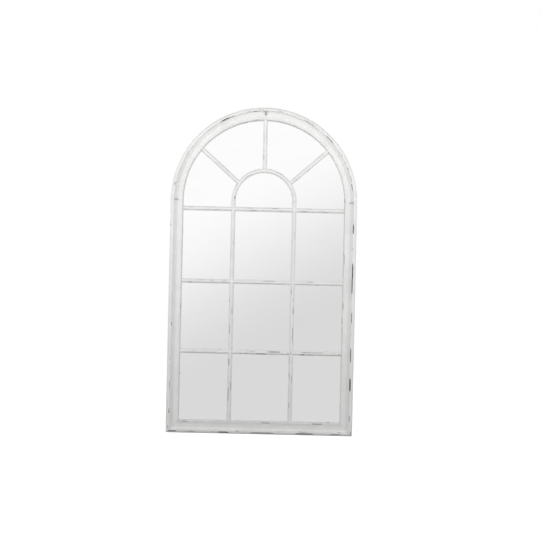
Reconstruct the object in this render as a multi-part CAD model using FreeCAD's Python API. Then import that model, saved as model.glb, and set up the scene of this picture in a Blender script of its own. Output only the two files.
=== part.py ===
import FreeCAD, Part
import math
import os

# Arched window mirror: a wooden frame with a half-round head, one arched sheet of mirror
# behind it, and glazing bars laid on the mirror so that it looks like a window.
# Millimetres. X runs to the viewer's right, Z up, and the front faces -Y (the wall is at +Y).
# The origin is under the middle of the bottom rail, half way through the frame's depth.

# ---- Frame ----
frame_width = 800.0
frame_height = 1400.0
frame_depth = 35.0

# ---- Moulding section: "in" is measured inward from the frame's outer edge, "up" from its back ----
moulding_width = 58.0
outer_round = 13.0
ridge_in = 15.5
quirk_depth = 3.5
cove_bottom_in = 27.5
cove_bottom_up = 20.5
inner_arris_in = 45.5
inner_arris_up = 26.0
inner_flat = 2.0
lip_edge = 2.5
glass_rebate_width = 10.0
board_rebate_width = 10.0

# ---- Mirror sheet and backing ----
glass_thickness = 4.0
glass_clearance = 2.0
board_thickness = 4.0
board_recess = 3.0
board_clearance = 0.5
setting_block_length = 40.0
setting_block_spacing = 400.0

# ---- Glazing bars ----
bar_width = 19.0
bar_height = 10.0
bar_edge = 2.5
bar_flat = 6.5
upright_spacing = 262.0
high_bar_drop = 36.0
high_to_mid_bar = 312.0
mid_to_low_bar = 302.0
radial_bar_angle = 41.4
radial_meeting_drop = 19.0

# ---- Joints in the wood ----
tenon_width = 8.0
tenon_height = 4.0
tenon_lift = 2.0
tenon_depth = 5.0
tenon_clearance = 0.1
tenon_root = 2.0
cope_overrun = 1.0
dowel_diameter = 8.0
dowel_length = 40.0
dowel_chamfer = 1.0
dowel_clearance = 0.05
dowel_end_gap = 0.5
dowel_up = 12.0
dowel_places_in = (13.0, 31.0)
v_nail_leg = 7.0
v_nail_thickness = 0.8
v_nail_height = 12.0
v_nail_places_in = (12.0, 28.0)

# ---- Screws: pan heads with a cross recess ----
backing_screw_diameter = 3.0
backing_screw_length = 14.0
backing_screw_head = 6.0
backing_screw_head_height = 1.8
backing_screw_pitch = 160.0
backing_screw_margin = 110.0
hanger_screw_diameter = 3.5
hanger_screw_length = 16.0
hanger_screw_head = 7.0
hanger_screw_head_height = 2.0
screw_hole_clearance = 0.3
screw_thread_clearance = 0.05
screw_tip = 3.0
recess_width = 0.9
recess_depth = 1.0

# ---- D-ring hangers and wall pads on the back ----
hanger_drop = 70.0
hanger_in = 19.0
strap_width = 13.0
strap_length = 45.0
strap_thickness = 1.2
strap_screw_first = 27.0
strap_screw_pitch = 12.0
strap_tail_gap = 0.5
ring_wire = 3.0
ring_bow_radius = 11.5
ring_corner_radius = 3.5
ring_side = 3.0
ring_clearance = 0.08
ring_lift = 0.3
pad_diameter = 22.0
pad_height = 6.5
pad_round = 1.2
pad_up_stile = 70.0

# ---- Places that follow from the sizes above ----
half_width = frame_width / 2
spring_z = frame_height - half_width
back_y = frame_depth / 2
shelf_up = board_recess + board_thickness
lip_up = shelf_up + glass_thickness
glass_rebate_in = moulding_width - glass_rebate_width
board_rebate_in = glass_rebate_in - board_rebate_width
sight_radius = half_width - moulding_width
bar_bevel = (bar_width - bar_flat) / 2
moulding_bevel = moulding_width - inner_arris_in - inner_flat
upright_x = upright_spacing / 2
ring_bar_outer = upright_x + bar_width / 2
high_bar_z = spring_z - high_bar_drop
mid_bar_z = high_bar_z - high_to_mid_bar
low_bar_z = mid_bar_z - mid_to_low_bar
hanger_x = -half_width + hanger_in
hanger_z = spring_z - hanger_drop
ring_axis_y = back_y + strap_thickness + ring_lift + ring_wire / 2

ALONG_X = FreeCAD.Vector(1, 0, 0)
ALONG_Y = FreeCAD.Vector(0, 1, 0)
ALONG_Z = FreeCAD.Vector(0, 0, 1)
HEAD_CENTRE = FreeCAD.Vector(0, 0, spring_z)


def point(x, up, z):
    """A point from its place across the front and its height above the frame's back."""
    return FreeCAD.Vector(x, back_y - up, z)


def mirrored(shape):
    """The same piece on the other side of the mirror's middle."""
    return shape.mirror(FreeCAD.Vector(0, 0, 0), ALONG_X)


def loop(corners):
    """A closed face through corner points."""
    return Part.Face(Part.makePolygon(corners + corners[:1]))


# ---- Frame members ----
def level_arc(low, end, place):
    """Arc that leaves its low point level and passes through its end, both given as (in, up)."""
    run = end[0] - low[0]
    rise = end[1] - low[1]
    radius = (run ** 2 + rise ** 2) / (2 * rise)
    half_turn = math.atan2(abs(run), radius - rise) / 2
    middle_in = low[0] + math.copysign(radius * math.sin(half_turn), run)
    middle_up = low[1] + radius * (1 - math.cos(half_turn))
    return Part.Arc(place(*low), place(middle_in, middle_up), place(*end)).toShape()


def moulding_face(place):
    """The moulding's section; place turns (in, up) into a point in space."""
    side_top = (0, frame_depth - outer_round)
    crown = (outer_round, frame_depth)
    round_middle = outer_round * (1 - math.sqrt(0.5))
    quirk = (ridge_in, frame_depth - quirk_depth)
    cove = (cove_bottom_in, cove_bottom_up)
    arris = (inner_arris_in, inner_arris_up)
    outline = [
        arris,
        (inner_arris_in + inner_flat, inner_arris_up),
        (moulding_width, lip_up + lip_edge),
        (moulding_width, lip_up),
        (glass_rebate_in, lip_up),
        (glass_rebate_in, shelf_up),
        (board_rebate_in, shelf_up),
        (board_rebate_in, 0),
        (0, 0),
        side_top,
    ]
    edges = [Part.makeLine(place(*a), place(*b)) for a, b in zip(outline, outline[1:])]
    middle = place(round_middle, frame_depth - round_middle)
    edges.append(Part.Arc(place(*side_top), middle, place(*crown)).toShape())
    edges.append(Part.makeLine(place(*crown), place(ridge_in, frame_depth)))
    edges.append(Part.makeLine(place(ridge_in, frame_depth), place(*quirk)))
    edges.append(level_arc(cove, quirk, place))
    edges.append(level_arc(cove, arris, place))
    return Part.Face(Part.Wire(Part.__sortEdges__(edges)))


def slab(corners):
    """The whole depth of the frame over an outline of (x, z) corners."""
    face = loop([point(x, 0, z) for x, z in corners])
    return face.extrude(FreeCAD.Vector(0, -frame_depth, 0))


def make_stile():
    """Left side of the frame, mitred at the foot and square at the spring line."""
    face = moulding_face(lambda inward, up: point(-half_width + inward, up, 0))
    run = face.extrude(FreeCAD.Vector(0, 0, spring_z))
    inner_x = -half_width + moulding_width
    kept = [(-half_width, 0), (inner_x, moulding_width), (inner_x, spring_z), (-half_width, spring_z)]
    return run.common(slab(kept))


def make_bottom_rail():
    """Bottom of the frame, mitred at both ends."""
    face = moulding_face(lambda inward, up: point(-half_width, up, inward))
    run = face.extrude(FreeCAD.Vector(frame_width, 0, 0))
    inner_x = half_width - moulding_width
    kept = [(-half_width, 0), (half_width, 0), (inner_x, moulding_width), (-inner_x, moulding_width)]
    return run.common(slab(kept))


def make_arch_half():
    """Left half of the round head, from the spring line to the crown."""
    face = moulding_face(lambda inward, up: point(-half_width + inward, up, spring_z))
    return face.revolve(HEAD_CENTRE, ALONG_Y, 90)


# ---- Dowels and v-nails ----
def rod(start, direction, length, radius, chamfer=0):
    """A round rod, with its end edges chamfered if asked."""
    shape = Part.makeCylinder(radius, length, start, direction)
    if chamfer:
        rims = [edge for edge in shape.Edges if edge.Closed]
        shape = shape.makeChamfer(chamfer, rims)
    return shape


def joint_dowels(centres, direction, clearance, end_gap, chamfer=0):
    """A rod at each centre of a butt joint, or its hole when the clearances aren't zero."""
    length = dowel_length + 2 * end_gap
    radius = dowel_diameter / 2 + clearance
    return [rod(c - direction * (length / 2), direction, length, radius, chamfer) for c in centres]


def make_v_nails(corner_x):
    """Two bent steel strips across the mitre at one bottom corner, pressed in from the back."""
    inward = -math.copysign(1, corner_x)
    nails = []
    for place_in in v_nail_places_in:
        x = corner_x + inward * place_in
        z = place_in
        outline = [
            (x, z),
            (x - inward * v_nail_leg, z),
            (x - inward * v_nail_leg, z - v_nail_thickness),
            (x - inward * v_nail_thickness, z - v_nail_thickness),
            (x - inward * v_nail_thickness, z - v_nail_leg),
            (x, z - v_nail_leg),
        ]
        face = loop([point(px, 0, pz) for px, pz in outline])
        nails.append(face.extrude(FreeCAD.Vector(0, -v_nail_height, 0)))
    return nails


# ---- Glazing bars: a section of (across, up) points carried along a straight line ----
BAR_SECTION = [
    (-bar_width / 2, lip_up),
    (bar_width / 2, lip_up),
    (bar_width / 2, lip_up + bar_edge),
    (bar_flat / 2, lip_up + bar_height),
    (-bar_flat / 2, lip_up + bar_height),
    (-bar_width / 2, lip_up + bar_edge),
]


def tenon_section(clearance):
    """A tenon's section, or its mortise's with a clearance all round."""
    low = lip_up + tenon_lift - clearance
    high = lip_up + tenon_lift + tenon_height + clearance
    reach = tenon_width / 2 + clearance
    return [(-reach, low), (reach, low), (reach, high), (-reach, high)]


def heading(start, end):
    """Unit direction from one (x, z) place to another."""
    length = math.hypot(end[0] - start[0], end[1] - start[1])
    return (end[0] - start[0]) / length, (end[1] - start[1]) / length


def moved(place, direction, distance):
    """An (x, z) place moved along a direction."""
    return place[0] + direction[0] * distance, place[1] + direction[1] * distance


def straight_run(section, start, end):
    """A section carried from one (x, z) place to another."""
    ahead = heading(start, end)
    corners = []
    for across, up in section:
        corners.append(point(start[0] + ahead[1] * across, up, start[1] - ahead[0] * across))
    face = loop(corners)
    return face.extrude(FreeCAD.Vector(end[0] - start[0], 0, end[1] - start[1]))


def make_bar(start, end, start_bevel, end_bevel, hosts):
    """A bar between two sight edges, its ends coped over the bevels of the pieces that it meets."""
    ahead = heading(start, end)
    first = moved(start, ahead, -start_bevel - cope_overrun)
    last = moved(end, ahead, end_bevel + cope_overrun)
    body = straight_run(BAR_SECTION, first, last)
    return body.cut(hosts)


def tenon_at(place, outward, clearance):
    """A tenon that leaves a bar's end at a sight edge, or its mortise with a clearance."""
    root = moved(place, outward, -tenon_root)
    tip = moved(place, outward, tenon_depth + clearance)
    return straight_run(tenon_section(clearance), root, tip)


def on_circle(start, ahead, radius):
    """Where a line from an (x, z) start meets a circle round the head's centre."""
    along = start[0] * ahead[0] + (start[1] - spring_z) * ahead[1]
    away = start[0] ** 2 + (start[1] - spring_z) ** 2 - radius ** 2
    return moved(start, ahead, -along + math.sqrt(along ** 2 - away))


# ---- Sheets that follow the frame's outline ----
def arched_sheet(inset, low_up, thickness):
    """An arched sheet whose edge lies a fixed distance inside the frame's outer edge."""
    side = half_width - inset
    left_foot = point(-side, low_up, inset)
    right_foot = point(side, low_up, inset)
    left_spring = point(-side, low_up, spring_z)
    right_spring = point(side, low_up, spring_z)
    crown = point(0, low_up, spring_z + side)
    edges = [
        Part.makeLine(left_spring, left_foot),
        Part.makeLine(left_foot, right_foot),
        Part.makeLine(right_foot, right_spring),
        Part.Arc(right_spring, crown, left_spring).toShape(),
    ]
    return Part.Face(Part.Wire(edges)).extrude(FreeCAD.Vector(0, -thickness, 0))


# ---- Screws ----
def make_screw(seat, diameter, length, head, head_height):
    """A pan-head screw driven towards -Y, with the underside of its head at the seat."""
    shank = diameter / 2
    rim = head / 2
    side = head_height / 3

    def at(radius, y):
        return seat + FreeCAD.Vector(radius, y, 0)

    dome = Part.Arc(at(0, head_height), at(rim * 0.7, head_height * 0.84), at(rim, side)).toShape()
    outline = [at(rim, side), at(rim, 0), at(shank, 0), at(shank, screw_tip - length), at(0, -length)]
    edges = [dome] + [Part.makeLine(a, b) for a, b in zip(outline, outline[1:])]
    edges.append(Part.makeLine(at(0, -length), at(0, head_height)))
    body = Part.Face(Part.Wire(edges)).revolve(seat, ALONG_Y, 360)
    slot = head / 2
    base = seat + FreeCAD.Vector(-slot / 2, head_height - recess_depth, -recess_width / 2)
    level = Part.makeBox(slot, recess_depth, recess_width, base)
    base = seat + FreeCAD.Vector(-recess_width / 2, head_height - recess_depth, -slot / 2)
    upright = Part.makeBox(recess_width, recess_depth, slot, base)
    return body.cut([level, upright])


def screw_hole(seat, radius, depth):
    """A round hole from the seat towards -Y."""
    return Part.makeCylinder(radius, depth, seat, -ALONG_Y)


def backing_screw_places():
    """(x, z) places of the screws along the backing board's edge, clear of every frame joint."""
    inset = board_rebate_in + board_rebate_width / 2
    side = half_width - inset
    rail_run = frame_width - 2 * backing_screw_margin
    rail_steps = max(1, round(rail_run / backing_screw_pitch))
    places = [(-rail_run / 2 + i * rail_run / rail_steps, inset) for i in range(rail_steps + 1)]
    stile_run = spring_z - backing_screw_margin
    stile_steps = max(1, round(stile_run / backing_screw_pitch))
    for i in range(stile_steps):
        z = backing_screw_margin + i * stile_run / stile_steps
        places += [(-side, z), (side, z)]
    quarter_steps = max(1, round(side * math.pi / 2 / backing_screw_pitch))
    for i in range(2 * quarter_steps):
        angle = (i + 0.5) * math.pi / 2 / quarter_steps
        places.append((side * math.cos(angle), spring_z + side * math.sin(angle)))
    return places


# ---- D-ring hanger ----
def disc(centre, normal, radius):
    """A round face."""
    return Part.Face(Part.Wire(Part.makeCircle(radius, centre, normal)))


def make_strap():
    """Left hanger's steel strap: a plate with a rounded foot, curled round the ring's straight leg."""
    half = strap_width / 2
    foot_z = hanger_z - strap_length + half
    corner = FreeCAD.Vector(hanger_x - half, back_y, foot_z)
    plate = Part.makeBox(strap_width, strap_thickness, hanger_z - foot_z, corner)
    foot = Part.makeCylinder(half, strap_thickness, FreeCAD.Vector(hanger_x, back_y, foot_z), ALONG_Y)
    bore = ring_wire / 2 + ring_clearance
    curl = bore + strap_thickness
    axis_end = FreeCAD.Vector(hanger_x - half, ring_axis_y, hanger_z)
    strap = plate.fuse([foot, Part.makeCylinder(curl, strap_width, axis_end, ALONG_X)])
    tail_corner = FreeCAD.Vector(hanger_x - half, back_y + strap_thickness, hanger_z - curl)
    tail = Part.makeBox(strap_width, strap_tail_gap, curl, tail_corner)
    strap = strap.cut([Part.makeCylinder(bore, strap_width, axis_end, ALONG_X), tail])
    hole = hanger_screw_diameter / 2 + screw_hole_clearance
    holes = [screw_hole(seat, hole, strap_thickness) for seat in hanger_screw_seats()]
    return strap.cut(holes).removeSplitter()


def hanger_screw_seats():
    """Seats of the left hanger's two screws on the strap's outer face."""
    first_z = hanger_z - strap_screw_first
    return [
        FreeCAD.Vector(hanger_x, back_y + strap_thickness, first_z),
        FreeCAD.Vector(hanger_x, back_y + strap_thickness, first_z - strap_screw_pitch),
    ]


def make_ring():
    """Left hanger's D-ring, hanging down: straight leg, two corners, two sides and a half-round bow."""
    radius = ring_wire / 2
    leg_end = ring_bow_radius - ring_corner_radius

    def at(x, z):
        return FreeCAD.Vector(hanger_x + x, ring_axis_y, hanger_z + z)

    leg = disc(at(-leg_end, 0), ALONG_X, radius).extrude(ALONG_X * (2 * leg_end))
    pieces = []
    for side in (-1, 1):
        corner = disc(at(side * leg_end, 0), ALONG_X, radius)
        pieces.append(corner.revolve(at(side * leg_end, -ring_corner_radius), ALONG_Y, side * 90))
        shoulder = disc(at(side * ring_bow_radius, -ring_corner_radius), ALONG_Z, radius)
        pieces.append(shoulder.extrude(ALONG_Z * -ring_side))
    bow_z = -ring_corner_radius - ring_side
    bow = disc(at(ring_bow_radius, bow_z), ALONG_Z, radius).revolve(at(0, bow_z), ALONG_Y, 180)
    return leg.fuse(pieces + [bow]).removeSplitter()


# ---- Build the pieces ----
left_stile = make_stile()
right_stile = mirrored(left_stile)
bottom_rail = make_bottom_rail()
arch_left = make_arch_half()
arch_right = mirrored(arch_left)

# Dowels: two across the crown joint and two across each spring joint.
crown_centres = [point(0, dowel_up, frame_height - place_in) for place_in in dowel_places_in]
spring_centres = [point(-half_width + place_in, dowel_up, spring_z) for place_in in dowel_places_in]
crown_dowels = joint_dowels(crown_centres, ALONG_X, 0, 0, dowel_chamfer)
crown_holes = joint_dowels(crown_centres, ALONG_X, dowel_clearance, dowel_end_gap)
left_spring_dowels = joint_dowels(spring_centres, ALONG_Z, 0, 0, dowel_chamfer)
left_spring_holes = joint_dowels(spring_centres, ALONG_Z, dowel_clearance, dowel_end_gap)
left_v_nails = make_v_nails(-half_width)

# Glazing bars, each cut over the ones it meets.
inner_arch_face = loop([point(-upright_x + across, up, spring_z) for across, up in BAR_SECTION])
inner_arch_bar = inner_arch_face.revolve(HEAD_CENTRE, ALONG_Y, 180)
upright_foot = (-upright_x, moulding_width)
upright_head = (-upright_x, spring_z)
upright_run = moved(upright_foot, (0, 1), -moulding_bevel - cope_overrun)
left_upright = straight_run(BAR_SECTION, upright_run, upright_head).cut(bottom_rail)
right_upright = mirrored(left_upright)

frame_sight_x = -half_width + moulding_width
upright_outer_x = -upright_x - bar_width / 2
upright_inner_x = -upright_x + bar_width / 2
bars = {}
mortises = {name: [] for name in ("stile", "rail", "arch", "inner_arch", "upright")}
for name, z in (("low", low_bar_z), ("mid", mid_bar_z), ("high", high_bar_z)):
    outer_end = (frame_sight_x, z)
    upright_side = (upright_outer_x, z)
    side_bar = make_bar(outer_end, upright_side, moulding_bevel, bar_bevel, [left_stile, left_upright])
    tenons = [tenon_at(outer_end, (-1, 0), 0), tenon_at(upright_side, (1, 0), 0)]
    bars[name + "_left_bar"] = side_bar.fuse(tenons).removeSplitter()
    bars[name + "_right_bar"] = mirrored(bars[name + "_left_bar"])
    left_end = (upright_inner_x, z)
    right_end = (-upright_inner_x, z)
    centre_bar = make_bar(left_end, right_end, bar_bevel, bar_bevel, [left_upright, right_upright])
    tenons = [tenon_at(left_end, (-1, 0), 0), tenon_at(right_end, (1, 0), 0)]
    bars[name + "_centre_bar"] = centre_bar.fuse(tenons).removeSplitter()
    mortises["stile"].append(tenon_at(outer_end, (-1, 0), tenon_clearance))
    mortises["upright"].append(tenon_at(upright_side, (1, 0), tenon_clearance))
    mortises["upright"].append(tenon_at(left_end, (-1, 0), tenon_clearance))

radial_slope = math.radians(radial_bar_angle)
left_ray = (-math.cos(radial_slope), math.sin(radial_slope))
meeting_place = (0, spring_z - radial_meeting_drop)
for name, start, ray in (("left", meeting_place, left_ray), ("top", (0, spring_z), (0, 1))):
    inner_end = on_circle(start, ray, ring_bar_outer)
    outer_end = on_circle(start, ray, sight_radius)
    inward_ray = (-ray[0], -ray[1])
    hosts = [inner_arch_bar, arch_left, arch_right]
    bar = make_bar(inner_end, outer_end, bar_bevel, moulding_bevel, hosts)
    tenons = [tenon_at(inner_end, inward_ray, 0), tenon_at(outer_end, ray, 0)]
    bars[name + "_radial_bar"] = bar.fuse(tenons).removeSplitter()
    mortises["inner_arch"].append(tenon_at(inner_end, inward_ray, tenon_clearance))
    mortises["arch"].append(tenon_at(outer_end, ray, tenon_clearance))
bars["right_radial_bar"] = mirrored(bars["left_radial_bar"])
mortises["inner_arch"].append(mirrored(mortises["inner_arch"][0]))

# The uprights' tenons go down into the rail and up into the inner arch bar's feet.
foot_tenon = tenon_at(upright_foot, (0, -1), 0)
head_tenon = tenon_at(upright_head, (0, 1), 0)
mortises["rail"].append(tenon_at(upright_foot, (0, -1), tenon_clearance))
mortises["inner_arch"].append(tenon_at(upright_head, (0, 1), tenon_clearance))
mortises["inner_arch"].append(mirrored(mortises["inner_arch"][-1]))
left_upright = left_upright.cut(mortises["upright"]).fuse([foot_tenon, head_tenon]).removeSplitter()
bars["left_upright_bar"] = left_upright
bars["right_upright_bar"] = mirrored(left_upright)
bars["inner_arch_bar"] = inner_arch_bar.cut(mortises["inner_arch"])

# Mirror sheet on two setting blocks, and the backing board screwed into the outer rebate.
mirror_glass = arched_sheet(glass_rebate_in + glass_clearance, shelf_up, glass_thickness)
setting_blocks = []
for side in (-1, 1):
    block_x = side * setting_block_spacing / 2 - setting_block_length / 2
    corner = point(block_x, lip_up, glass_rebate_in)
    setting_blocks.append(Part.makeBox(setting_block_length, glass_thickness, glass_clearance, corner))
backing_board = arched_sheet(board_rebate_in + board_clearance, board_recess, board_thickness)
board_seats = [point(x, board_recess, z) for x, z in backing_screw_places()]
backing_screws = []
board_holes = []
pilot_holes = []
for seat in board_seats:
    size = (backing_screw_diameter, backing_screw_length, backing_screw_head, backing_screw_head_height)
    backing_screws.append(make_screw(seat, *size))
    clear = backing_screw_diameter / 2 + screw_hole_clearance
    snug = backing_screw_diameter / 2 + screw_thread_clearance
    board_holes.append(screw_hole(seat, clear, board_thickness))
    pilot_holes.append(screw_hole(seat, snug, backing_screw_length))
backing_board = backing_board.cut(board_holes)

# Hangers and wall pads, built on the left and mirrored.
left_strap = make_strap()
left_ring = make_ring()
size = (hanger_screw_diameter, hanger_screw_length, hanger_screw_head, hanger_screw_head_height)
left_hanger_screws = [make_screw(seat, *size) for seat in hanger_screw_seats()]
snug = hanger_screw_diameter / 2 + screw_thread_clearance
hanger_pilots = [screw_hole(seat, snug, hanger_screw_length) for seat in hanger_screw_seats()]
left_pad = Part.makeCylinder(pad_diameter / 2, pad_height, point(hanger_x, 0, pad_up_stile), ALONG_Y)
outer_rim = [edge for edge in left_pad.Edges if edge.Closed and edge.CenterOfMass.y > back_y + pad_height / 2]
left_pad = left_pad.makeFillet(pad_round, outer_rim)

# Holes and mortises in the frame members.
left_stile_cuts = mortises["stile"] + left_spring_holes + left_v_nails + hanger_pilots + pilot_holes
left_stile = left_stile.cut(left_stile_cuts)
right_stile = mirrored(left_stile)
rail_cuts = mortises["rail"] + left_v_nails
bottom_rail = bottom_rail.cut(rail_cuts + [mirrored(cut) for cut in rail_cuts] + pilot_holes)
arch_left = arch_left.cut(mortises["arch"] + left_spring_holes + crown_holes + pilot_holes)
arch_right = mirrored(arch_left)

# ---- Nodes ----
nodes = {
    "left_stile": [left_stile],
    "right_stile": [right_stile],
    "bottom_rail": [bottom_rail],
    "arch_left": [arch_left],
    "arch_right": [arch_right],
    "left_corner_v_nails": left_v_nails,
    "right_corner_v_nails": [mirrored(nail) for nail in left_v_nails],
    "crown_dowels": crown_dowels,
    "left_spring_dowels": left_spring_dowels,
    "right_spring_dowels": [mirrored(dowel) for dowel in left_spring_dowels],
    "mirror_glass": [mirror_glass],
    "glass_setting_blocks": setting_blocks,
    "backing_board": [backing_board],
    "backing_screws": backing_screws,
    "left_hanger_strap": [left_strap],
    "right_hanger_strap": [mirrored(left_strap)],
    "left_hanger_ring": [left_ring],
    "right_hanger_ring": [mirrored(left_ring)],
    "left_hanger_screws": left_hanger_screws,
    "right_hanger_screws": [mirrored(screw) for screw in left_hanger_screws],
    "left_wall_pad": [left_pad],
    "right_wall_pad": [mirrored(left_pad)],
}
nodes.update({name: [bar] for name, bar in bars.items()})

os.makedirs("parts", exist_ok=True)
for name, shapes in nodes.items():
    solids = [solid for shape in shapes for solid in shape.Solids]
    node = solids[0] if len(solids) == 1 else Part.makeCompound(solids)
    node.exportStep("parts/" + name + ".step")
    print(name, len(solids), "solids", round(sum(solid.Volume for solid in solids)), "mm3")
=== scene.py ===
import math

import bpy
import numpy as np
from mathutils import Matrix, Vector


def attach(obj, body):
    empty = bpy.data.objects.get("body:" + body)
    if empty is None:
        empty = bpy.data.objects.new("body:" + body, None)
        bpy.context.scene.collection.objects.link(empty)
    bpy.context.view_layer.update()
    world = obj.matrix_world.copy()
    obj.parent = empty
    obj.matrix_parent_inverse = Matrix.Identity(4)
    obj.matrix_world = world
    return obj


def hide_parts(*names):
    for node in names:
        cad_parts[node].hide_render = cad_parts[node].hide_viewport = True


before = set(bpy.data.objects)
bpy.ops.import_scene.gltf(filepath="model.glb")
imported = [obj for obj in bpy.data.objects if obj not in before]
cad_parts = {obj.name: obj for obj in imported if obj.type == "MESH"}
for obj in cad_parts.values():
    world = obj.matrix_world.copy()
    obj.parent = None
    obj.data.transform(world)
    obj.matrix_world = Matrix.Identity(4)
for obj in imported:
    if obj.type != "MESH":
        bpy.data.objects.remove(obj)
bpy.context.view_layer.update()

# ---- Stiles, bottom rail and round head ----
# Five lengths of one pine moulding: mitred at the foot, butted and dowelled at the spring lines and
# at the crown. Brushed chalky white over a near-black undercoat, then rubbed through along the
# arrises. The back and the rebates are bare pine.
mm = 0.001
half_width = 400 * mm
spring_z = 1000 * mm
back_y = 17.5 * mm
frame_depth = 35 * mm
# Places on the moulding's section are (in from the outer side, up from the back).
moulding_width = 54.4 * mm
outer_round = 13 * mm
ridge_in = 15.5 * mm
quirk_up = 33.2 * mm
cove_bottom = (27.5 * mm, 20.5 * mm)
inner_arris = (49.6 * mm, 26 * mm)
inner_flat = 1.4 * mm
lip_top = 13.5 * mm
lip_up = 11 * mm
shelf_up = 7 * mm
glass_rebate_in = 48 * mm
board_rebate_in = 38 * mm
arris_wear = 0.42 * mm
end_ease = 0.5 * mm
end_steps = np.array([0, 0.07, 0.2, 0.5]) * mm
arc_steps = 24
moulding_points = 160
station = 2.4 * mm
sharp_angle = math.radians(40)
# Only the front is rubbed: from this far above the lip, and either this far in or this far up.
unrubbed_lip = 0.3 * mm
unrubbed_side = (3 * mm, 25 * mm)
# Bare pine starts this far in on the back, comes fully over this fade, and ends this far up.
paint_edge_in = 1.5 * mm
paint_edge_fade = 3 * mm
bare_up = 12 * mm
moulding_rub_depth = 0.3 * mm
moulding_mark_spacing = 90
# Arrises are (millimetres across, strength), handled bands (at, reach, strength), and darkenings
# (reach, strength): dirt and painted shade at the quirk and the cove's bottom, dirt at the joints.
moulding_arrises = [(10.5, 0.5), (15.2, 0.7), (49.7, 0.5), (51, 0.45), (53.8, 0.6)]
handled_bands = [(8 * mm, 5 * mm, 0.24), (50.3 * mm, 2 * mm, 0.1)]
quirk_soil_and_shade = (1.2 * mm, 0.1)
joint_soiling = (0.5 * mm, 0.2)
cove_soil_and_shade = (4 * mm, 0.35)

undercoat = (0.040, 0.033, 0.030, 1)
rubbed_timber = (0.150, 0.098, 0.062, 1)
thin_paint = (0.40, 0.385, 0.37, 1)
white_paint = (0.825, 0.823, 0.818, 1)
shaded_paint = (0.775, 0.773, 0.767, 1)
# The colour below darkens the creases: it is dirt, and painted shade where they lie in shadow.
soil_and_shade_paint = (0.52, 0.515, 0.50, 1)
pine = (0.56, 0.39, 0.23, 1)
pine_latewood = (0.36, 0.21, 0.11, 1)


def level_arc(low, end, steps):
    """Points of the arc that leaves a low point level and passes through end: its radius is
    (run squared + rise squared) / twice the rise."""
    run = end[0] - low[0]
    rise = end[1] - low[1]
    radius = (run ** 2 + rise ** 2) / (2 * rise)
    turn = np.linspace(0, math.atan2(abs(run), radius - rise), steps)
    across = low[0] + math.copysign(radius, run) * np.sin(turn)
    return np.stack([across, low[1] + radius * (1 - np.cos(turn))], 1)


def worn_outline(corners, reach, count):
    """A closed outline with its corners worn round: a fine even walk along it, each point averaged
    with its neighbours by a bell curve of that reach, then count points that crowd where it turns.
    Gives the points, and their distances along the outline with its whole length last."""
    walk = 0.1 * mm
    crowd_at_turns = 6 * mm
    ring = np.vstack([corners, corners[:1]])
    passed = np.concatenate([[0], np.cumsum(np.hypot(*np.diff(ring, axis=0).T))])
    whole = passed[-1]
    fine = np.linspace(0, whole, int(whole / walk), endpoint=False)
    even = np.stack([np.interp(fine, passed, ring[:, k]) for k in range(2)], 1)
    bell = np.exp(-0.5 * (np.minimum(fine, whole - fine) / reach) ** 2)
    spread = np.fft.fft(bell / bell.sum())[:, None]
    soft = np.fft.ifft(np.fft.fft(even, axis=0) * spread, axis=0).real
    step = np.roll(soft, -1, 0) - soft
    turn = step * np.roll(step, -1, 0)[:, ::-1]
    bend = np.abs(turn[:, 0] - turn[:, 1]) / np.sum(step ** 2, 1)
    crowding = np.cumsum(whole / len(fine) + crowd_at_turns * bend)
    share = np.concatenate([[0], crowding]) / crowding[-1]
    at = np.interp(np.arange(count) / count, share, np.append(fine, whole))
    points = np.stack([np.interp(at, fine, soft[:, k], period=whole) for k in range(2)], 1)
    return points, np.append(at, whole)


def sunk(section, depth):
    """A closed section pressed inward by a depth for each ring and point: each point goes against its
    outward normal, which is the outline's direction turned a quarter."""
    ahead = np.roll(section, -1, 0) - np.roll(section, 1, 0)
    ahead = ahead / np.hypot(*ahead.T)[:, None]
    following = np.roll(section, -1, 0)
    area = np.sum(section[:, 0] * following[:, 1] - following[:, 0] * section[:, 1])
    inward = np.stack([-ahead[:, 1], ahead[:, 0]], 1) * np.sign(area)
    return section + depth[..., None] * inward


def stations(section, start, end):
    """Distances along a run for each ring and section point, between starts and ends that may differ
    from point to point, with the close steps of an eased edge at both ends. Also how far each ring is
    sunk, which is a quarter round of end_ease."""
    start, end, _ = np.broadcast_arrays(start, end, section[:, 0])
    count = int(np.max(end - start) / station)
    first = start + end_steps[:, None]
    last = end - end_steps[::-1, None]
    share = np.linspace(0, 1, count)[1:-1, None]
    along = np.vstack([first, first[-1] + (last[0] - first[-1]) * share, last])
    sink = end_ease - np.sqrt(np.maximum(end_ease ** 2 - (end_ease - end_steps) ** 2, 0))
    return along, np.concatenate([sink, np.zeros(count - 2), sink[::-1]])[:, None]


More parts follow.
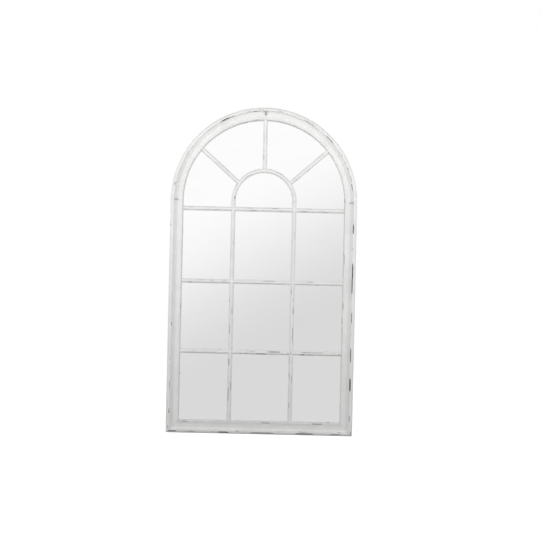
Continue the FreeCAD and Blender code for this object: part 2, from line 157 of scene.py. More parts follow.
def closed_run(name, points, along, around, layers):
    """A solid from rings of points: quads between neighbouring rings and one flat face over each end,
    all turned outward by the sign of the volume about the middle. The UV map holds metres along and
    around the run, and layers are numbers kept at its points."""
    rings, count = along.shape
    index = np.arange(rings * count).reshape(rings, count)
    beside = np.roll(index, -1, 1)
    quads = np.stack([index[:-1], index[1:], beside[1:], beside[:-1]], -1).reshape(-1, 4)
    low = np.broadcast_to(around[:-1], along.shape)
    high = np.broadcast_to(around[1:], along.shape)
    along_beside = np.roll(along, -1, 1)
    corners = [(along[:-1], low[:-1]), (along[1:], low[1:]), (along_beside[1:], high[1:]),
               (along_beside[:-1], high[:-1])]
    uv = np.stack([np.stack(corner, -1) for corner in corners], 2).reshape(-1, 4, 2)
    ends = [index[0], index[-1][::-1]]
    end_uv = [np.stack([along[0], low[0]], -1), np.stack([along[-1], low[-1]], -1)[::-1]]
    places = points.reshape(-1, 3)
    a, b, c, d = np.moveaxis((places - places.mean(0))[quads], 1, 0)
    volume = np.sum(a * np.cross(b, c)) + np.sum(a * np.cross(c, d))
    order = slice(None, None, -1 if volume < 0 else 1)
    quads = quads[:, order]
    uv = uv[:, order]
    mesh = bpy.data.meshes.new(name)
    mesh.vertices.add(len(places))
    mesh.vertices.foreach_set("co", places.astype(np.float32).ravel())
    corner_points = np.concatenate([quads.ravel()] + [end[order] for end in ends])
    mesh.loops.add(len(corner_points))
    mesh.loops.foreach_set("vertex_index", corner_points.astype(np.int32))
    starts = np.append(np.arange(len(quads)) * 4, len(quads) * 4 + np.array([0, count]))
    mesh.polygons.add(len(starts))
    mesh.polygons.foreach_set("loop_start", starts.astype(np.int32))
    mesh.update(calc_edges=True)
    laid = np.concatenate([uv.reshape(-1, 2)] + [end[order] for end in end_uv])
    mesh.uv_layers.new(name="run").uv.foreach_set("vector", laid.astype(np.float32).ravel())
    for key, values in layers.items():
        layer = mesh.attributes.new(key, "FLOAT", "POINT")
        kept_values = np.broadcast_to(values, along.shape).astype(np.float32)
        layer.data.foreach_set("value", kept_values.ravel())
    mesh.shade_smooth()
    mesh.set_sharp_from_angle(angle=sharp_angle)
    piece = bpy.data.objects.new(name, mesh)
    bpy.context.scene.collection.objects.link(piece)
    return piece


def rubbed(along, across, strokes):
    """How far the paint is rubbed off, from 0 to 1, by strokes of (from, to, at, width, strength) in
    millimetres. A stroke is a long blunt oval, whole within 0.6 of its size and gone beyond 1.4 times
    it, and where strokes cross the stronger counts."""
    worn = np.zeros(np.broadcast(along, across).shape)
    for first, last, at, width, strength in strokes:
        lengthways = np.abs(along / mm - (first + last) / 2) / (abs(last - first) / 2)
        sideways = np.abs(across / mm - at) / (width / 2)
        out = (lengthways ** 4 + sideways ** 4) ** 0.25
        worn = np.maximum(worn, strength * np.clip(1.75 - 1.25 * out, 0, 1))
    return worn


def chance_strokes(seed, length, arrises, spacing):
    """Short thin strokes at random places along each arris, which is (at, strength): one to every
    spacing millimetres, 5 to 45 mm long and up to 1.6 mm wide."""
    chance = np.random.default_rng(seed)
    strokes = []
    for at, strength in arrises:
        for middle in chance.uniform(length[0], length[1], int((length[1] - length[0]) / spacing)):
            half = 2.5 + 20 * chance.random() ** 2.5
            side = at + chance.normal(0, 0.5)
            width = 0.6 + chance.random()
            force = strength * chance.uniform(0.5, 1)
            strokes.append((middle - half, middle + half, side, width, force))
    return strokes


class Wire:
    """A number that changes over a surface. Sums, differences and products of wires add Math nodes."""

    def __init__(self, recipe, socket):
        self.recipe = recipe
        self.socket = socket

    def joined(self, operation, first, second):
        return self.recipe.node("ShaderNodeMath", {"operation": operation}, {0: first, 1: second})

    def __add__(self, other):
        return self.joined("ADD", self, other)

    def __radd__(self, other):
        return self.joined("ADD", other, self)

    def __sub__(self, other):
        return self.joined("SUBTRACT", self, other)

    def __rsub__(self, other):
        return self.joined("SUBTRACT", other, self)

    def __mul__(self, other):
        return self.joined("MULTIPLY", self, other)

    def __rmul__(self, other):
        return self.joined("MULTIPLY", other, self)


class Recipe:
    """The nodes of a material or world. node() adds one of any type and gives its output as a Wire."""

    def __init__(self, owner):
        owner.use_nodes = True
        self.owner = owner
        self.tree = owner.node_tree

    def join(self, value, socket):
        """Links a wire to a socket, or sets the socket to a plain value."""
        if isinstance(value, Wire):
            self.tree.links.new(value.socket, socket)
        else:
            socket.default_value = value

    def node(self, kind, settings, values, out=0):
        made = self.tree.nodes.new(kind)
        for key, value in settings.items():
            setattr(made, key, value)
        for key, value in values.items():
            self.join(value, made.inputs[key])
        return Wire(self, made.outputs[out])

    def surface(self, values):
        """Sets or links the shader's sockets by name."""
        shader = self.tree.nodes["Principled BSDF"]
        for key, value in values.items():
            self.join(value, shader.inputs[key])

    def object_place(self):
        return self.node("ShaderNodeTexCoord", {}, {}, "Object")

    def attribute(self, name):
        return self.node("ShaderNodeAttribute", {"attribute_name": name}, {}, "Fac")

    def noise(self, place, cells, detail, roughness=0.5):
        """Noise about 0.5 at a place, with so many cells to the metre in each direction."""
        stretched = self.node("ShaderNodeVectorMath", {"operation": "MULTIPLY"}, {0: place, 1: cells})
        values = {"Vector": stretched, "Scale": 1, "Detail": detail, "Roughness": roughness}
        return self.node("ShaderNodeTexNoise", {}, values)

    def rise(self, value, low, high):
        """0 at low and before, 1 at high and beyond, and a smooth S between. Low may be the larger."""
        values = {"Value": value, "From Min": low, "From Max": high}
        return self.node("ShaderNodeMapRange", {"interpolation_type": "SMOOTHSTEP"}, values)

    def mixed(self, share, first, second):
        """A colour between two. Sockets 6, 7 and output 2 are the Mix node's colours."""
        return self.node("ShaderNodeMix", {"data_type": "RGBA"}, {0: share, 6: first, 7: second}, 2)

    def bump(self, height):
        """A normal for a height in millimetres."""
        return self.node("ShaderNodeBump", {}, {"Strength": 1, "Distance": mm, "Height": height})


def painted_pine():
    """Chalky white brushed over a dark undercoat on pine. The run's own map carries the brush marks and
    the grain; the attributes say where it is rubbed, where its creases are darkened with dirt and
    painted shade, and where it is left bare."""
    recipe = Recipe(bpy.data.materials.new("painted_pine"))
    run = recipe.node("ShaderNodeUVMap", {"uv_map": "run"}, {})
    place = recipe.object_place()
    brush = recipe.noise(run, (16, 420, 1), 4)
    ragged = recipe.noise(run, (150, 560, 1), 4, 0.6)
    grain = recipe.noise(run, (5, 260, 1), 5, 0.6)
    chalk = recipe.noise(place, (24, 24, 24), 4)
    cloud = recipe.noise(place, (5, 5, 5), 2)
    pore = recipe.noise(place, (1100, 1100, 1100), 2)

    loss = recipe.attribute("rubbed") + (ragged - 0.5) * 0.6 + (brush - 0.5) * 0.35
    gone = recipe.rise(loss, 0.46, 0.54)
    thin = recipe.rise(loss, 0.27, 0.52)
    # The creases are darkened with dirt and painted shade: the quirk, the cove's bottom and the bars'
    # feet at the glass. The joints are darkened with dirt only.
    dirt_and_shade = recipe.attribute("soil_and_shade") * (0.55 + chalk * 0.9)

    coat = recipe.mixed(recipe.rise(chalk * 0.6 + cloud * 0.4, 0.38, 0.62), shaded_paint, white_paint)
    coat = recipe.mixed(recipe.rise(brush, 0.56, 0.72) * 0.35, coat, shaded_paint)
    coat = recipe.mixed(recipe.rise(dirt_and_shade, 0.1, 0.9) * 0.7, coat, soil_and_shade_paint)
    coat = recipe.mixed(thin * 0.55, coat, thin_paint)
    under = recipe.mixed(recipe.rise(grain + loss * 0.25, 0.76, 0.94), undercoat, rubbed_timber)
    painted = recipe.mixed(gone, coat, under)
    timber = recipe.mixed(recipe.rise(grain, 0.42, 0.66), pine, pine_latewood)
    timber = recipe.mixed(recipe.rise(chalk, 0.52, 0.78) * 0.3, timber, rubbed_timber)
    bare = recipe.rise(recipe.attribute("bare") + (ragged - 0.5) * 0.7 + (chalk - 0.5) * 0.5, 0.42, 0.5)
    colour = recipe.mixed(bare, painted, timber)

    ridges = (1 - gone) * (0.09 + brush * 0.06 + ragged * 0.02) + pore * 0.005
    furrows = grain * 0.10 + pore * 0.03
    height = ridges * (1 - bare) + furrows * bare
    gloss = 0.72 - brush * 0.08 - gone * 0.16 + pore * 0.04
    recipe.surface({"Base Color": colour, "Roughness": gloss, "Normal": recipe.bump(height)})
    recipe.surface({"Specular IOR Level": 0.2})
    return recipe.owner


painted = painted_pine()


def moulding_corners():
    """The moulding's section as (in, up) corners, from its back outer corner up the outside, over the
    quarter round, ridge, quirk and cove to the sight edge, and back through the two rebates."""
    turn = np.linspace(math.pi, math.pi / 2, arc_steps)
    round_up = frame_depth - outer_round
    outer = np.stack([outer_round * (1 + np.cos(turn)), round_up + outer_round * np.sin(turn)], 1)
    rising = level_arc(cove_bottom, (ridge_in, quirk_up), arc_steps)[::-1]
    falling = level_arc(cove_bottom, inner_arris, arc_steps)[1:]
    front = [(inner_arris[0] + inner_flat, inner_arris[1]), (moulding_width, lip_top)]
    back = [(moulding_width, lip_up), (glass_rebate_in, lip_up), (glass_rebate_in, shelf_up),
            (board_rebate_in, shelf_up), (board_rebate_in, 0)]
    return np.vstack([[(0, 0)], outer, [(ridge_in, frame_depth)], rising, falling, front, back])


moulding, moulding_around = worn_outline(moulding_corners(), arris_wear, moulding_points)
across_moulding = moulding[:, 0]
above_back = moulding[:, 1]
past_side = (across_moulding > unrubbed_side[0]) | (above_back > unrubbed_side[1])
on_front = (above_back > lip_up + unrubbed_lip) & past_side
past_paint = np.clip((across_moulding - paint_edge_in) / paint_edge_fade, 0, 1)
bare_back = past_paint * np.clip((bare_up - above_back) / mm, 0, 1)


def near(distance, reach, strength):
    """Full strength at no distance, falling away as a bell curve."""
    return strength * np.exp(-0.5 * (distance / reach) ** 2)


def moulding_piece(name, start, end, place, strokes, seed):
    """One length of the moulding. place turns (along, in) into (x, z). Its rub marks are the strokes
    and the seed's chance ones, over two bands worn by hands, and they are sunk a little."""
    along, end_sink = stations(moulding, start, end)
    span = (np.min(along) / mm, np.max(along) / mm)
    marks = strokes + chance_strokes(seed, span, moulding_arrises, moulding_mark_spacing)
    handled = sum(near(across_moulding - at, reach, most) for at, reach, most in handled_bands)
    worn = np.maximum(rubbed(along, across_moulding, marks), handled) * on_front
    section = sunk(moulding, end_sink + moulding_rub_depth * np.clip(worn, 0, 1) ** 2)
    x, z = place(along, section[..., 0])
    points = np.stack([x, back_y - section[..., 1], z], -1)
    # The quirk and the cove's bottom are darkened with dirt and painted shade, and the eased ends with
    # the dirt of the joints.
    to_quirk = np.hypot(across_moulding - ridge_in, above_back - quirk_up)
    to_end = np.minimum(along - along[0], along[-1] - along)
    soil_and_shade = near(to_quirk, *quirk_soil_and_shade) + near(to_end, *joint_soiling)
    hollow_soil_and_shade = near(across_moulding - cove_bottom[0], *cove_soil_and_shade) * (above_back > lip_top)
    layers = {"rubbed": worn, "soil_and_shade": np.clip(soil_and_shade + hollow_soil_and_shade, 0, 1), "bare": bare_back}
    piece = closed_run(name + "_painted", points, along, moulding_around, layers)
    piece.data.materials.append(painted)
    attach(piece, "mirror")
    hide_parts(name)


# The stiles' strokes lie by their height above the foot, and the rail's by their distance from the
# frame's middle. The head's lie by their distance up the outer edge from the spring line. Each
# piece's last number is the seed of its chance strokes.
left_stile_strokes = [
    (884, 896, 4.5, 1.8, 0.85), (588, 604, 14.6, 1.2, 0.55), (455, 482, 14, 1.1, 0.7),
    (378, 412, 14.5, 1, 0.55), (188, 232, 14, 1.6, 0.8), (84, 106, 14, 2.3, 0.88),
    (14, 40, 10, 1.2, 0.85),
]
right_stile_strokes = [
    (868, 905, 14.8, 3.2, 1), (668, 740, 14.4, 3.5, 1), (612, 672, 15.2, 3.2, 0.95),
    (485, 530, 14.8, 1.5, 1), (318, 378, 14.8, 2.4, 1), (194, 248, 14.6, 4.8, 1),
    (64, 92, 14.6, 1.3, 0.92), (728, 782, 50, 1.3, 0.75), (538, 572, 51, 1.4, 0.85),
    (430, 452, 50, 1.1, 0.5), (6, 24, 9, 1.5, 0.85),
]
rail_strokes = [
    (-388, -352, 9, 3.6, 1), (-394, -383, 15, 1.5, 0.85), (-322, -266, 8.4, 1.3, 0.7),
    (-298, -280, 13, 1, 0.6), (-174, -130, 8, 4.8, 1), (-102, -84, 14, 2.2, 0.85),
    (-38, 62, 8, 3, 1), (158, 232, 8, 4.2, 1), (304, 352, 8, 2.4, 1), (380, 396, 8, 1, 0.6),
    (-332, -304, 49.6, 2.2, 0.88), (-252, -228, 49, 1, 0.5), (8, 46, 49.6, 2.4, 0.92),
    (228, 272, 49.6, 2.5, 0.95),
]
left_head_strokes = [
    (426, 462, 15.2, 2.6, 1), (408, 478, 15.6, 1.1, 0.6), (344, 370, 16, 0.9, 0.5),
    (176, 240, 13.5, 1.2, 0.7), (58, 78, 13, 2.6, 0.85), (546, 578, 12.6, 1.5, 0.65),
    (592, 612, 12.2, 1.5, 0.75), (560, 600, 51, 1, 0.6),
]
right_head_strokes = [
    (550, 582, 13, 1.6, 0.74), (392, 462, 14.8, 1.2, 0.7), (288, 330, 15.2, 1.5, 0.88),
    (138, 188, 15, 1.1, 0.5), (54, 86, 18, 2, 0.8), (606, 618, 14, 1.1, 0.55),
    (470, 500, 52, 1.2, 0.5),
]
moulding_piece("left_stile", across_moulding, spring_z,
               lambda along, inward: (inward - half_width, along), left_stile_strokes, 11)
moulding_piece("right_stile", across_moulding, spring_z,
               lambda along, inward: (half_width - inward, along), right_stile_strokes, 12)
moulding_piece("bottom_rail", across_moulding - half_width, half_width - across_moulding,
               lambda along, inward: (along, inward), rail_strokes, 13)


def on_head(side):
    """Puts a place along and in from the outer edge onto one half of the round head."""
    def place(along, inward):
        angle = along / half_width
        radius = half_width - inward
        return side * radius * np.cos(angle), spring_z + radius * np.sin(angle)
    return place


half_head = half_width * math.pi / 2
moulding_piece("arch_left", 0, half_head, on_head(-1), left_head_strokes, 14)
moulding_piece("arch_right", 0, half_head, on_head(1), right_head_strokes, 15)

# ---- Dowels and v-nails ----
# Fluted beech dowels glued across the butt joints, and bent strips of bright spring steel pressed
# into the mitres from behind. The dowels are out of sight.
beech_pale = (0.72, 0.52, 0.34, 1)
beech_dark = (0.55, 0.36, 0.21, 1)
steel_bright = (0.62, 0.62, 0.63, 1)
steel_dull = (0.40, 0.39, 0.38, 1)


def beech():
    """Turned beech: fine lengthwise fibres with short dark flecks."""
    recipe = Recipe(bpy.data.materials.new("beech"))
    place = recipe.object_place()
    fibre = recipe.noise(place, (300, 300, 300), 4)
    fleck = recipe.noise(place, (90, 700, 700), 2)
    shade = recipe.rise(fibre * 0.6 + fleck * 0.4, 0.38, 0.66)
    recipe.surface({"Base Color": recipe.mixed(shade, beech_pale, beech_dark)})
    recipe.surface({"Roughness": 0.55 + fibre * 0.2})
    recipe.surface({"Normal": recipe.bump(fleck * 0.05)})
    return recipe.owner


def plated_steel(name, bright, dull, gloss):
    """Satin metal: cloudy plating, fine rubbing marks and dull freckles."""
    recipe = Recipe(bpy.data.materials.new(name))
    place = recipe.object_place()
    cloud = recipe.noise(place, (160, 160, 160), 3)
    freckle = recipe.rise(recipe.noise(place, (900, 900, 900), 3), 0.56, 0.68)
    rub = recipe.noise(place, (2600, 400, 400), 2)
    dulled = recipe.rise(cloud, 0.35, 0.68) * 0.45 + freckle * 0.4
    recipe.surface({"Base Color": recipe.mixed(dulled, bright, dull), "Metallic": 1 - freckle * 0.2})
    recipe.surface({"Roughness": gloss + cloud * 0.12 + freckle * 0.15})
    recipe.surface({"Normal": recipe.bump(rub * 0.012)})
    return recipe.owner


def finished(material, names):
    """Gives CAD nodes a better material."""
    for name in names:
        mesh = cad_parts[name].data
        mesh.materials.clear()
        mesh.materials.append(material)


finished(beech(), ["crown_dowels", "left_spring_dowels", "right_spring_dowels"])
finished(plated_steel("spring_steel", steel_bright, steel_dull, 0.26),
         ["left_corner_v_nails", "right_corner_v_nails"])

# ---- Mirror sheet and its setting blocks ----
# One arched sheet of 4 mm float glass, silvered and backed with grey paint, with ground edges. It
# lies in the front rebate and stands on two rubber blocks.
silver = (0.968, 0.972, 0.968, 1)
silver_hazed = (0.93, 0.935, 0.932, 1)
glass_edge = (0.30, 0.44, 0.39, 1)
backing_paint = (0.23, 0.24, 0.25, 1)
backing_worn = (0.33, 0.33, 0.33, 1)
rubber_black = (0.030, 0.030, 0.031, 1)
rubber_bloom = (0.085, 0.083, 0.080, 1)


def silvered_glass():
    """Mirror on the side that faces the room, grey paint behind it and ground green-grey edges, told
    apart by the way that the surface faces."""
    recipe = Recipe(bpy.data.materials.new("silvered_glass"))
    place = recipe.object_place()
    facing = recipe.node("ShaderNodeTexCoord", {}, {}, "Normal")
    toward_wall = recipe.node("ShaderNodeSeparateXYZ", {}, {0: facing}, "Y")
    front = recipe.rise(0 - toward_wall, 0.6, 0.9)
    behind = recipe.rise(toward_wall, 0.6, 0.9)
    wipe = recipe.noise(place, (9, 9, 26), 4)
    haze = recipe.rise(wipe, 0.5, 0.85)
    dust = recipe.rise(recipe.noise(place, (420, 420, 420), 2), 0.66, 0.76)
    roll = recipe.noise(place, (2.2, 2.2, 1.3), 1)
    streak = recipe.noise(place, (6, 6, 160), 3)
    coating = recipe.mixed(haze * 0.5 + dust * 0.4, silver, silver_hazed)
    paint = recipe.mixed(recipe.rise(streak, 0.4, 0.65), backing_paint, backing_worn)
    colour = recipe.mixed(front, recipe.mixed(behind, glass_edge, paint), coating)
    recipe.surface({"Base Color": colour, "Metallic": front})
    recipe.surface({"Roughness": 0.42 - front * 0.415 + front * haze * 0.012 + behind * 0.2})
    recipe.surface({"Normal": recipe.bump(roll * front * 0.05 + streak * behind * 0.03)})
    return recipe.owner


def moulded_rubber():
    """Matt black rubber with a fine moulded grain and a pale bloom."""
    recipe = Recipe(bpy.data.materials.new("black_rubber"))
    place = recipe.object_place()
    bloom = recipe.rise(recipe.noise(place, (70, 70, 70), 4), 0.45, 0.75)
    nap = recipe.noise(place, (1500, 1500, 1500), 2)
    recipe.surface({"Base Color": recipe.mixed(bloom * 0.7, rubber_black, rubber_bloom)})
    recipe.surface({"Roughness": 0.62 + bloom * 0.2, "Normal": recipe.bump(nap * 0.05)})
    return recipe.owner


rubber = moulded_rubber()
finished(silvered_glass(), ["mirror_glass"])
finished(rubber, ["glass_setting_blocks"])

# ---- Glazing bars ----
# Fifteen pine bars of one bevelled section, glued down onto the mirror's face and painted with the
# frame. Two uprights run through and carry the half-round bar; the others stop at what they meet,
# coped over its bevel and held by stub tenons.
bar_half = 9.5 * mm
bar_flat = 3.25 * mm
bar_foot = 13.5 * mm
bar_top = 21 * mm
bar_points = 96
upright_x = 131 * mm
bar_rows = {"low": 350 * mm, "mid": 652 * mm, "high": 964 * mm}
radial_angle = math.radians(41.4)
radial_meeting = 981 * mm
bite = 0.45 * mm
unrubbed_foot = 0.4 * mm
bar_rub_depth = 0.25 * mm
bar_mark_spacing = 70
bar_arrises = [(-3.7, 0.56), (3.7, 0.56), (-8.6, 0.62), (8.6, 0.56)]
# The bar's foot on the glass is darkened with dirt and painted shade, and its ends with the dirt of the
# joints.
bar_foot_soil_and_shade = (1.1 * mm, 0.45)
bar_end_soiling = (0.8 * mm, 0.5)

bar_corners = np.array([(-bar_half, lip_up), (bar_half, lip_up), (bar_half, bar_foot),
                        (bar_flat, bar_top), (-bar_flat, bar_top), (-bar_half, bar_foot)])
bar_section, bar_around = worn_outline(bar_corners, arris_wear, bar_points)
across_bar = bar_section[:, 0]
bar_up = bar_section[:, 1]
above_foot = np.maximum(bar_up - bar_foot, 0)
# Where each line of a bar's section stops: bite inside the bevelled side of another bar, counted from
# that bar's middle, or of the moulding, counted from the frame's middle.
bar_side = bar_half - above_foot * (bar_half - bar_flat) / (bar_top - bar_foot) - bite
moulding_bevel = moulding_width - inner_arris[0] - inner_flat
bevel_there = above_foot * moulding_bevel / (inner_arris[1] - lip_top)
moulding_side = half_width - moulding_width + bevel_there + bite


def painted_bar(name, along, end_sink, place, strokes, seed):
    """One bar. place turns (along, across) into (x, z). Its wear lies on the two top arrises and along
    the feet; its foot at the glass is darkened with dirt and painted shade, and its ends with the dirt
    of the joints."""
    span = (np.min(along) / mm, np.max(along) / mm)
    marks = strokes + chance_strokes(seed, span, bar_arrises, bar_mark_spacing)
    worn = rubbed(along, across_bar, marks) * (bar_up > lip_up + unrubbed_foot)
    section = sunk(bar_section, end_sink + bar_rub_depth * worn ** 2)
    x, z = place(along, section[..., 0])
    points = np.stack([x, back_y - section[..., 1], z], -1)
    to_end = np.minimum(along - along[0], along[-1] - along)
    soil_and_shade = near(bar_up - lip_up, *bar_foot_soil_and_shade) + near(to_end - bite, *bar_end_soiling)
    layers = {"rubbed": worn, "soil_and_shade": np.clip(soil_and_shade, 0, 1), "bare": 0}
    piece = closed_run(name + "_painted", points, along, bar_around, layers)
    piece.data.materials.append(painted)
    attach(piece, "mirror")
    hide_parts(name)


def straight_bar(name, origin, heading, start, end, strokes, seed):
    """A bar from start to end along a heading from an origin, where across is to the left of it."""
    along, end_sink = stations(bar_section, start, end)
    painted_bar(name, along, end_sink,
                lambda far, side: (origin[0] + heading[0] * far - heading[1] * side,
                                   origin[1] + heading[1] * far + heading[0] * side), strokes, seed)


def to_circle(origin, heading, radius):
    """How far along a heading each line of the bar's section meets a circle round the head's centre:
    the larger root of the square of the distance from the centre."""
    x = origin[0] - heading[1] * across_bar
    z = origin[1] + heading[0] * across_bar - spring_z
    toward = x * heading[0] + z * heading[1]
    return -toward + np.sqrt(toward ** 2 - x ** 2 - z ** 2 + radius ** 2)


upright_strokes = {
    "left": [(806, 838, -4.2, 1.1, 0.6), (750, 776, -4.2, 1.1, 0.5),
             (512, 538, -4.2, 1.6, 0.95), (428, 465, 4, 1.7, 0.95), (564, 574, 8, 1.4, 0.9),
             (290, 321, 3.8, 2.6, 0.95), (184, 223, -5.2, 1.3, 0.88),
             (136, 200, 4.2, 1.8, 0.88), (60, 92, -4.4, 1, 0.55), (238, 262, -8.2, 1, 0.55),
             (356, 372, -8, 1.2, 0.65)],
    "right": [(830, 873, -4, 1.1, 0.5), (750, 772, 4.4, 1, 0.5), (519, 549, -4, 1.8, 0.95),
              (603, 626, 4.6, 1.2, 0.75), (400, 458, -3.8, 1.6, 0.95),
              (343, 361, 1.5, 1.4, 0.85), (218, 255, -4, 1.2, 0.85), (232, 265, 4.6, 1, 0.78),
              (113, 139, 4.6, 1.6, 0.95), (300, 330, 8.4, 1.2, 0.65), (326, 346, 6, 0.9, 0.55)],
}
foot = half_width - moulding_side
for number, (side, x) in enumerate([("left", -upright_x), ("right", upright_x)]):
    straight_bar(side + "_upright_bar", (x, 0), (0, 1), foot, spring_z, upright_strokes[side],
                 21 + number)

arch_bar_strokes = [
    (5, 16, 6, 1, 0.5), (18, 40, -5, 1.2, 0.55), (122, 158, 6, 1.4, 0.7),
    (262, 290, -4, 0.8, 0.4), (318, 352, 5.4, 1.3, 0.75), (391, 405, -4.8, 2.8, 0.95),
]


def on_arch_bar(far, side):
    """Puts a place along the half-round bar's middle from its right foot, and outward from it, into
    (x, z)."""
    radius = upright_x + side
    return radius * np.cos(far / upright_x), spring_z + radius * np.sin(far / upright_x)


along, end_sink = stations(bar_section, 0, upright_x * math.pi)
painted_bar("inner_arch_bar", along, end_sink, on_arch_bar, arch_bar_strokes, 23)

radial_strokes = {
    "left": [(150, 172, 4.6, 1, 0.45), (236, 262, -4.4, 0.9, 0.45), (306, 324, 5, 1, 0.5)],
    "top": [(268, 330, -4.8, 1.1, 0.62), (334, 346, -8.4, 0.8, 0.6), (176, 200, 4.4, 1.3, 0.8)],
    "right": [(160, 186, -4.6, 1, 0.4), (300, 338, 4.6, 1, 0.4), (222, 250, 5, 1, 0.42)],
}
slope = (math.cos(radial_angle), math.sin(radial_angle))
headings = {"left": (-slope[0], slope[1]), "top": (0, 1), "right": slope}
for number, (side, heading) in enumerate(headings.items()):
    origin = (0, spring_z if side == "top" else radial_meeting)
    start = to_circle(origin, heading, upright_x + bar_side)
    end = to_circle(origin, heading, moulding_side)
    straight_bar(side + "_radial_bar", origin, heading, start, end, radial_strokes[side], 24 + number)

row_strokes = {
    "low_left": [(-312, -294, -5.6, 1, 0.42), (-252, -235, -4.6, 1.2, 0.55)],
    "low_centre": [(31, 84, 3.6, 2.8, 1), (-70, -56, -4.8, 1.8, 0.9), (-21, 21, -6.4, 2.8, 1),
                   (-56, -21, 3.6, 0.9, 0.5), (112, 121, 0, 2, 0.9)],
    "low_right": [(171, 273, 3.8, 1.5, 0.82), (168, 189, -6.6, 3.4, 1), (196, 230, -6.4, 1.5, 0.75),
                  (330, 342, 0, 1.6, 0.75)],
    "mid_left": [(-224, -207, 4, 1.3, 0.8), (-319, -301, -6, 1.8, 0.9), (-274, -245, 4, 1.1, 0.6),
                 (-175, -147, 4, 1.1, 0.65)],
    "mid_centre": [(-4, 63, 4.2, 1.3, 0.8), (-42, 14, -5.4, 0.9, 0.45)],
    "mid_right": [(196, 220, 4.2, 1.3, 0.88), (240, 262, -6.4, 1, 0.45)],
    "high_left": [(-326, -301, 4.2, 1.4, 0.8), (-259, -224, -5.4, 1, 0.5),
                  (-220, -196, -5.6, 1.2, 0.65), (-175, -140, -5.6, 1.1, 0.55)],
    "high_centre": [(31, 63, 4.2, 1.5, 0.9), (-56, -28, -6, 1.5, 0.85), (-80, -42, 4.4, 1.1, 0.65),
                    (60, 112, -5.6, 1, 0.55)],
    "high_right": [(192, 210, 4.4, 1, 0.78), (157, 189, -6, 1.4, 0.8), (224, 297, -5.4, 1.1, 0.6)],
}
row_ends = {
    "left": (-moulding_side, -upright_x - bar_side),
    "centre": (-upright_x + bar_side, upright_x - bar_side),
    "right": (upright_x + bar_side, moulding_side),
}
for number, (name, strokes) in enumerate(row_strokes.items()):
    row, column = name.split("_")
    start, end = row_ends[column]
    straight_bar(name + "_bar", (0, bar_rows[row]), (1, 0), start, end, strokes, 31 + number)

# ---- Backing board and its screws ----
# Brown hardboard behind the mirror, its meshed side out, held in the rear rebate by zinc-plated
# pan-head screws.
board_brown = (0.33, 0.21, 0.12, 1)
board_dark = (0.21, 0.125, 0.07, 1)
board_pale = (0.42, 0.29, 0.18, 1)
zinc_bright = (0.68, 0.69, 0.70, 1)
zinc_dull = (0.46, 0.47, 0.48, 1)
mesh_pitch = 1.7 * mm


def hardboard():
    """Pressed brown fibre with the print of a wire mesh: the product of two sine waves, and loose
    fibres and stains over it."""
    recipe = Recipe(bpy.data.materials.new("hardboard"))
    place = recipe.object_place()
    waves = []
    for axis in ("X", "Z"):
        part = recipe.node("ShaderNodeSeparateXYZ", {}, {0: place}, axis)
        turned = part * (2 * math.pi / mesh_pitch)
        waves.append(recipe.node("ShaderNodeMath", {"operation": "SINE"}, {0: turned}))
    print_depth = waves[0] * waves[1]
    fibre = recipe.noise(place, (900, 900, 240), 3)
    stain = recipe.noise(place, (7, 7, 7), 4)
    fleck = recipe.rise(recipe.noise(place, (320, 320, 320), 2), 0.6, 0.7)
    colour = recipe.mixed(recipe.rise(stain, 0.3, 0.8) * 0.45, board_brown, board_dark)
    colour = recipe.mixed(recipe.rise(fibre, 0.5, 0.75) * 0.5, colour, board_pale)
    colour = recipe.mixed(fleck * 0.6, colour, board_dark)
    recipe.surface({"Base Color": colour, "Roughness": 0.72 + fibre * 0.15})
    recipe.surface({"Normal": recipe.bump(print_depth * 0.06 + fibre * 0.07)})
    return recipe.owner


zinc = plated_steel("zinc_plate", zinc_bright, zinc_dull, 0.30)
finished(hardboard(), ["backing_board"])
finished(zinc, ["backing_screws"])

# ---- Hanger straps, rings and wall pads ----
# A zinc-plated strap is screwed to the back of each stile, its end curled round a wire D-ring that
# swings in it. A rubber pad at the foot of each stile keeps the frame off the wall.
finished(zinc, ["left_hanger_strap", "right_hanger_strap", "left_hanger_screws",
                "right_hanger_screws", "left_hanger_ring", "right_hanger_ring"])
finished(rubber, ["left_wall_pad", "right_wall_pad"])

# ---- Floor, light and camera ----
# A plain pale floor under the frame, a soft room that the mirror shows whitest above and to the
# left, and a large lamp at each side. The camera looks square on and leans by the photograph's tilt.
floor_grey = 0.5
floor_smudge = (0.99, 1.01)
# The camera sees floor_lift added to the floor, and the mirror sees the floor as bright as room_low.
floor_lift = 0.86
# The mirror sees the room rise from room_low to white across glow_span. The paint is lit by
# room_level, less by ceiling_dim of it above and more by low_light below. For rays that paint has
# already scattered, bounce_dim is how far the mirrored room falls back to that plain light.
room_low = 0.715
glow_up = 1.6
glow_right = 0.83
glow_span = (-0.17, 0.24)
room_level = 0.77
ceiling_dim = 0.72
ceiling_span = (-0.1, 1)
low_light = 0.4
below_span = (-0.1, -0.4)
bounce_dim = 0.6
lamp_size = 1.6
lamp_aim = (0, 0, 1)
lamps = {"left": ((-1.65, -1.75, 1.45), 20.5), "right": ((1.65, -1.75, 1.45), 19.5)}
camera_place = (0.0325, -3.0175, 0.705)
camera_lean = math.radians(1.29)
sensor_width = 36
view_width = 2.306
view_distance = 3.0

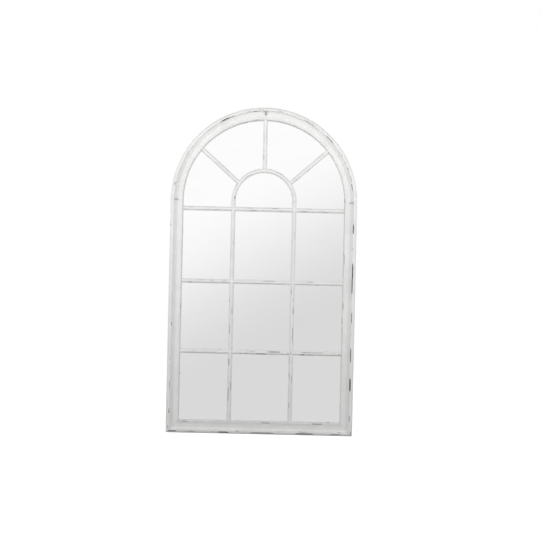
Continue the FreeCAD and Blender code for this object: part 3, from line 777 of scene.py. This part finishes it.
floor_corners = np.array([(-2, -1.6, 0), (2, -1.6, 0), (2, 2, 0), (-2, 2, 0)])
floor_mesh = bpy.data.meshes.new("floor")
floor_mesh.from_pydata(floor_corners.tolist(), [], [(0, 1, 2, 3)])
floor = bpy.data.objects.new("floor", floor_mesh)
bpy.context.scene.collection.objects.link(floor)
floor_recipe = Recipe(bpy.data.materials.new("studio_floor"))
seen = floor_recipe.node("ShaderNodeLightPath", {}, {}, "Is Camera Ray")
mirrored = floor_recipe.node("ShaderNodeLightPath", {}, {}, "Is Glossy Ray")
smudge = floor_recipe.noise(floor_recipe.object_place(), (3, 3, 3), 3)
floor_tones = [(floor_grey * tone, floor_grey * tone, floor_grey * tone, 1) for tone in floor_smudge]
dimmed = floor_recipe.mixed(smudge, *floor_tones)
dimmed = floor_recipe.mixed(mirrored, dimmed, (0, 0, 0, 1))
floor_recipe.surface({"Base Color": dimmed, "Roughness": 0.9, "Specular IOR Level": 0})
floor_recipe.surface({"Emission Color": (1, 1, 1, 1)})
floor_recipe.surface({"Emission Strength": seen * floor_lift + mirrored * room_low})
floor_mesh.materials.append(floor_recipe.owner)

room = bpy.data.worlds.new("room")
bpy.context.scene.world = room
room_recipe = Recipe(room)
direction = room_recipe.node("ShaderNodeTexCoord", {}, {}, "Generated")
to_right = room_recipe.node("ShaderNodeSeparateXYZ", {}, {0: direction}, "X")
upward = room_recipe.node("ShaderNodeSeparateXYZ", {}, {0: direction}, "Z")
toward_glow = upward * glow_up - to_right * glow_right
glow = room_recipe.rise(toward_glow, *glow_span) * (1 - room_low) + room_low
camera_ray = room_recipe.node("ShaderNodeLightPath", {}, {}, "Is Camera Ray")
glossy_ray = room_recipe.node("ShaderNodeLightPath", {}, {}, "Is Glossy Ray")
scattered = room_recipe.node("ShaderNodeLightPath", {}, {}, "Diffuse Depth")
seen_in_mirror = glossy_ray * (1 - bounce_dim * room_recipe.rise(scattered, 0, 1))
ceiling_loss = room_recipe.rise(upward, *ceiling_span) * room_level * ceiling_dim
soft_light = room_level - ceiling_loss + room_recipe.rise(upward, *below_span) * low_light
plain = soft_light + seen_in_mirror * (glow - soft_light)
shown = plain * (1 - camera_ray) + camera_ray
grey = room_recipe.node("ShaderNodeCombineColor", {}, {0: shown, 1: shown, 2: shown})
background = room.node_tree.nodes["Background"]
room_recipe.join(grey, background.inputs["Color"])

for side, (place, power) in lamps.items():
    lamp = bpy.data.objects.new(side + "_lamp", bpy.data.lights.new(side + "_lamp", "AREA"))
    lamp.data.shape = "DISK"
    lamp.data.size = lamp_size
    lamp.data.energy = power
    lamp.location = place
    lamp.rotation_euler = (Vector(lamp_aim) - lamp.location).to_track_quat("-Z", "Y").to_euler()
    lamp.visible_glossy = False
    lamp.visible_camera = False
    bpy.context.scene.collection.objects.link(lamp)

camera = bpy.data.objects.new("camera", bpy.data.cameras.new("camera"))
camera.data.sensor_width = sensor_width
camera.data.lens = sensor_width * view_distance / view_width
camera.location = camera_place
camera.rotation_euler = (math.pi / 2, -camera_lean, 0)
bpy.context.scene.collection.objects.link(camera)
bpy.context.scene.camera = camera
bpy.context.scene.view_settings.view_transform = "Standard"
